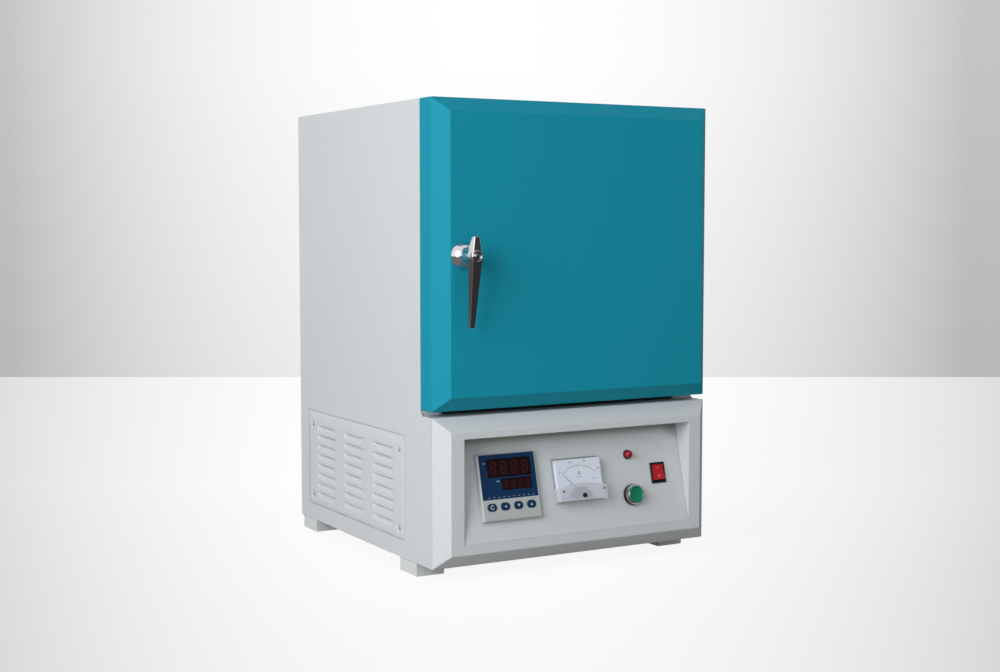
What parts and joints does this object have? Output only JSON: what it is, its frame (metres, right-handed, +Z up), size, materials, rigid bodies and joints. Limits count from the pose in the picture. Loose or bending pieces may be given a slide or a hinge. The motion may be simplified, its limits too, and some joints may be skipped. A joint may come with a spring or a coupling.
{
  "type": "box furnace",
  "caption": "Bench box furnace with a side-hinged insulated door, a latch handle, louvred sides and a recessed sloping instrument panel below.",
  "frame": {"origin": "bottom centre of the bounding box, on the surface that the feet stand on", "axes": "+X to the right of someone facing the door, +Y from the door to the rear cover, +Z up"},
  "size_m": [0.4785, 0.5622, 0.678],
  "materials": {
    "cabinet_paint": "light silver-grey powder coat, fine texture, satin",
    "door_paint": "teal blue enamel, fine texture, glossy",
    "zinc_sheet": "plain zinc-grey sheet, satin",
    "liner_steel": "brushed stainless sheet",
    "frame_enamel": "black stove enamel, satin",
    "chromed_metal": "polished chrome plate",
    "plated_steel": "bright zinc plate",
    "lock_brass": "nickel-plated brass, slightly worn",
    "fibre_block": "vacuum-formed fibre, soft matt",
    "fibre_blanket": "needled fibre blanket",
    "hearth_ceramic": "fired refractory plate",
    "element_alloy": "oxidised resistance alloy",
    "bushing_ceramic": "electrical porcelain",
    "rubber_foot": "grey moulded rubber",
    "black_plastic": "moulded, fine texture",
    "grey_plastic": "light grey moulded housing, satin",
    "navy_plastic": "navy blue moulded keys, satin",
    "dark_window": "dark blue tinted window",
    "clear_plastic": "clear moulded cover, glossy",
    "dial_white": "printed white dial, matt",
    "needle_black": "black lacquered",
    "lamp_lens": "translucent red lens",
    "button_green": "green moulded cap",
    "rocker_red": "red moulded key",
    "control_plastic": "moulded housing",
    "sink_aluminium": "extruded"
  },
  "bodies": {
    "cabinet": {"outer_casing": "cabinet_paint", "vent_panel_left": "cabinet_paint", "vent_panel_right": "cabinet_paint", "control_fascia": "cabinet_paint", "base_pan": "zinc_sheet", "rear_cover": "cabinet_paint", "front_frame": "frame_enamel", "divider_shelf": "zinc_sheet", "instrument_panel": "cabinet_paint", "foot_front_left": "rubber_foot", "foot_front_right": "rubber_foot", "foot_rear_left": "rubber_foot", "foot_rear_right": "rubber_foot", "foot_bolts": "plated_steel", "chamber_floor_block": "fibre_block", "chamber_roof_block": "fibre_block", "chamber_left_block": "fibre_block", "chamber_right_block": "fibre_block", "chamber_rear_block": "fibre_block", "insulation_blanket": "fibre_blanket", "inner_casing": "zinc_sheet", "hearth_plate": "hearth_ceramic", "heating_element_left": "element_alloy", "heating_element_right": "element_alloy", "element_terminals": "bushing_ceramic", "thermocouple_sheath": "bushing_ceramic", "thermocouple_head": "sink_aluminium", "cable_gland": "black_plastic", "terminal_strip": "control_plastic", "power_regulator": "sink_aluminium", "contactor": "control_plastic", "controller_case": "grey_plastic", "controller_window": "dark_window", "ammeter_case": "black_plastic", "ammeter_dial": "dial_white", "ammeter_cover": "clear_plastic", "pilot_lamp": "lamp_lens", "push_button_collar": "chromed_metal", "rocker_frame": "black_plastic", "latch_keeper": "plated_steel", "cabinet_hinge_leaves": "plated_steel", "hinge_pins": "plated_steel"},
    "door": {"door_skin": "door_paint", "door_liner": "liner_steel", "door_insulation": "fibre_block", "door_hinge_leaves": "plated_steel", "handle_rose": "chromed_metal"},
    "lever": {"handle_lever": "chromed_metal", "handle_spindle": "plated_steel", "latch_cam": "plated_steel"},
    "lock": {"lock_barrel": "lock_brass"},
    "button": {"push_button_cap": "button_green"},
    "rocker": {"rocker_key": "rocker_red"},
    "key_1": {"controller_key_1": "navy_plastic"},
    "key_2": {"controller_key_2": "navy_plastic"},
    "key_3": {"controller_key_3": "navy_plastic"},
    "key_4": {"controller_key_4": "navy_plastic"},
    "needle": {"ammeter_needle": "needle_black"},
    "zero_screw": {"ammeter_zero_screw": "black_plastic"}
  },
  "joints": [
    {"name": "door_swing", "type": "hinge", "parent": "cabinet", "child": "door", "pos_m": [0.23425, -0.1834, 0.46], "axis": [0, 0, 1], "range_deg": [0, 170]},
    {"name": "lever_turn", "type": "hinge", "parent": "door", "child": "lever", "pos_m": [-0.20025, -0.2799, 0.46], "axis": [0, -1, 0], "range_deg": [0, 90]},
    {"name": "lock_turn", "type": "hinge", "parent": "lever", "child": "lock", "pos_m": [-0.20025, -0.2799, 0.46], "axis": [0, -1, 0], "range_deg": [0, 90]},
    {"name": "button_press", "type": "slide", "parent": "cabinet", "child": "button", "axis": [0, 0.9694, -0.2454], "range_m": [0, 0.003], "stiffness_N_per_m": 400, "springref_m": -0.002},
    {"name": "rocker_turn", "type": "hinge", "parent": "cabinet", "child": "rocker", "pos_m": [0.14305, -0.21828, 0.12713], "axis": [1, 0, 0], "range_deg": [0, 20]},
    {"name": "needle_turn", "type": "hinge", "parent": "cabinet", "child": "needle", "pos_m": [-0.00325, -0.22978, 0.11023], "axis": [0, -0.9694, 0.2454], "range_deg": [-88, 0], "stiffness_Nm_per_rad": 0.0002, "springref_deg": 17.19},
    {"name": "zero_screw_turn", "type": "hinge", "parent": "cabinet", "child": "zero_screw", "pos_m": [-0.00325, -0.24433, 0.10979], "axis": [0, -0.9694, 0.2454], "range_deg": [-20, 20]},
    {"name": "key_1_press", "type": "slide", "parent": "cabinet", "child": "key_1", "axis": [0, 0.9694, -0.2454], "range_m": [0, 0.0008], "stiffness_N_per_m": 300, "springref_m": -0.001},
    {"name": "key_2_press", "type": "slide", "parent": "cabinet", "child": "key_2", "axis": [0, 0.9694, -0.2454], "range_m": [0, 0.0008], "stiffness_N_per_m": 300, "springref_m": -0.001},
    {"name": "key_3_press", "type": "slide", "parent": "cabinet", "child": "key_3", "axis": [0, 0.9694, -0.2454], "range_m": [0, 0.0008], "stiffness_N_per_m": 300, "springref_m": -0.001},
    {"name": "key_4_press", "type": "slide", "parent": "cabinet", "child": "key_4", "axis": [0, 0.9694, -0.2454], "range_m": [0, 0.0008], "stiffness_N_per_m": 300, "springref_m": -0.001}
  ]
}
